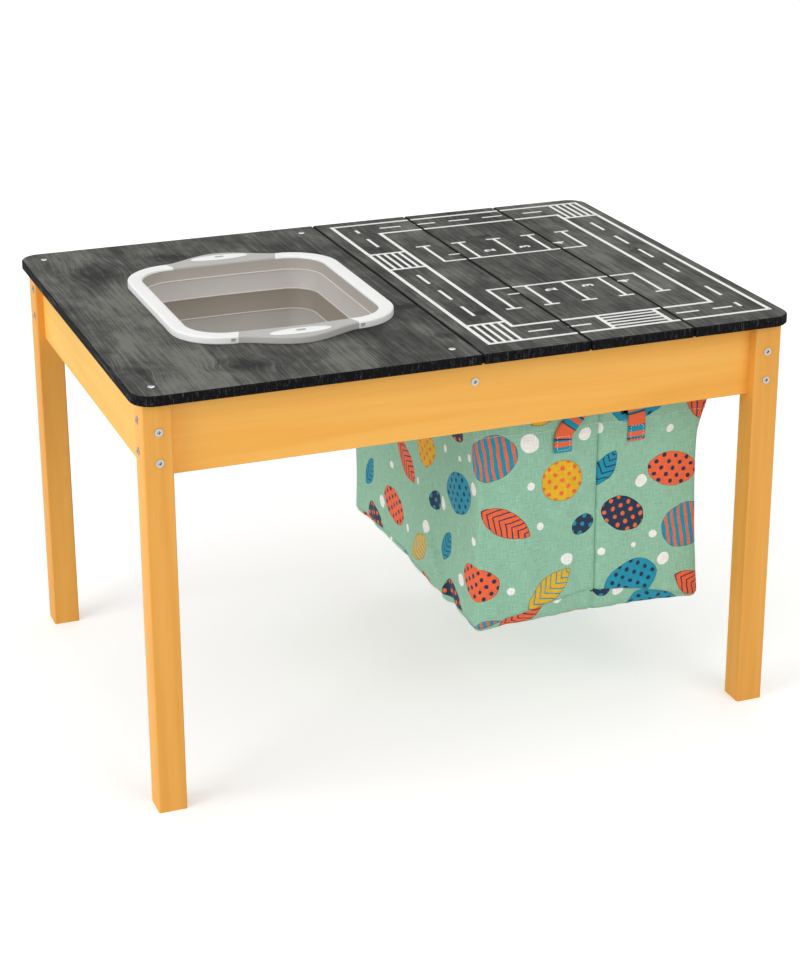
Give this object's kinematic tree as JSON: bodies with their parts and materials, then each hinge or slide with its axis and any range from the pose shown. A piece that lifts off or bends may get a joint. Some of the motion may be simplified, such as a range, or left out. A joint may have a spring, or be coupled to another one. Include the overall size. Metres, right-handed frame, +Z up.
{
  "type": "kids table with storage",
  "caption": "Low wooden play table: a screwed-down panel holds a lift-out folding basin, loose boards printed with a road layout lift off a cloth storage bag hung on rods below.",
  "frame": {"origin": "on the floor, under the middle of the table top", "axes": "+X along the front from the basin side to the bag side, -Y towards the front, +Z up"},
  "size_m": [0.79, 0.585, 0.51],
  "materials": {
    "amber_pine": "satin amber lacquer on pine",
    "bare_pine": "planed pine",
    "charcoal_stain": "charcoal stained pine, matt, with white printed road layout",
    "zinc_steel": "zinc plated",
    "bag_cloth": "plain woven cotton and linen, printed",
    "bag_strap": "plain woven cotton and linen, printed",
    "white_plastic": "moulded, satin",
    "grey_grip": "moulded soft-touch grip, matt",
    "taupe_wall": "moulded flexible wall, matt",
    "pale_wall": "moulded flexible wall, matt"
  },
  "bodies": {
    "table_frame": {"leg_front_left": "amber_pine", "leg_front_right": "amber_pine", "leg_back_left": "amber_pine", "leg_back_right": "amber_pine", "apron_front": "amber_pine", "apron_back": "amber_pine", "apron_left": "amber_pine", "apron_right": "amber_pine", "cross_rail": "bare_pine", "fixed_panel": "charcoal_stain", "panel_screws": "zinc_steel", "leg_bolts": "zinc_steel", "barrel_nuts": "zinc_steel", "rail_bolts": "zinc_steel", "bag_rod_left": "bare_pine", "bag_rod_right": "bare_pine", "rod_block_front_left": "bare_pine", "rod_block_front_right": "bare_pine", "rod_block_back_left": "bare_pine", "rod_block_back_right": "bare_pine", "rod_block_screws": "zinc_steel", "bag_left_half": "bag_cloth", "bag_right_half": "bag_cloth", "bag_bottom": "bag_cloth", "bag_handle_front": "bag_strap", "bag_handle_back": "bag_strap"},
    "board_1": {"loose_board_1": "charcoal_stain", "batten_1_front": "bare_pine", "batten_1_back": "bare_pine", "batten_screws_1": "zinc_steel"},
    "board_2": {"loose_board_2": "charcoal_stain", "batten_2_front": "bare_pine", "batten_2_back": "bare_pine", "batten_screws_2": "zinc_steel"},
    "board_3": {"loose_board_3": "charcoal_stain", "batten_3_front": "bare_pine", "batten_3_back": "bare_pine", "batten_screws_3": "zinc_steel"},
    "basin": {"basin_rim": "white_plastic", "basin_grip_front": "grey_grip", "basin_grip_back": "grey_grip", "basin_inlay_front": "white_plastic", "basin_inlay_back": "white_plastic", "basin_collar": "taupe_wall", "basin_upper_band": "pale_wall", "basin_fold_band": "taupe_wall"},
    "basin_base": {"basin_lower_band": "pale_wall", "basin_pan": "taupe_wall"}
  },
  "joints": [
    {"name": "board_1_lift", "type": "slide", "parent": "table_frame", "child": "board_1", "axis": [0, 0, 1], "range_m": [0, 0.12]},
    {"name": "board_2_lift", "type": "slide", "parent": "table_frame", "child": "board_2", "axis": [0, 0, 1], "range_m": [0, 0.12]},
    {"name": "board_3_lift", "type": "slide", "parent": "table_frame", "child": "board_3", "axis": [0, 0, 1], "range_m": [0, 0.12]},
    {"name": "basin_lift", "type": "slide", "parent": "table_frame", "child": "basin", "axis": [0, 0, 1], "range_m": [0, 0.14]},
    {"name": "basin_collapse", "type": "slide", "parent": "basin", "child": "basin_base", "axis": [0, 0, 1], "range_m": [0, 0.048], "deforming": ["basin_fold_band"]}
  ]
}
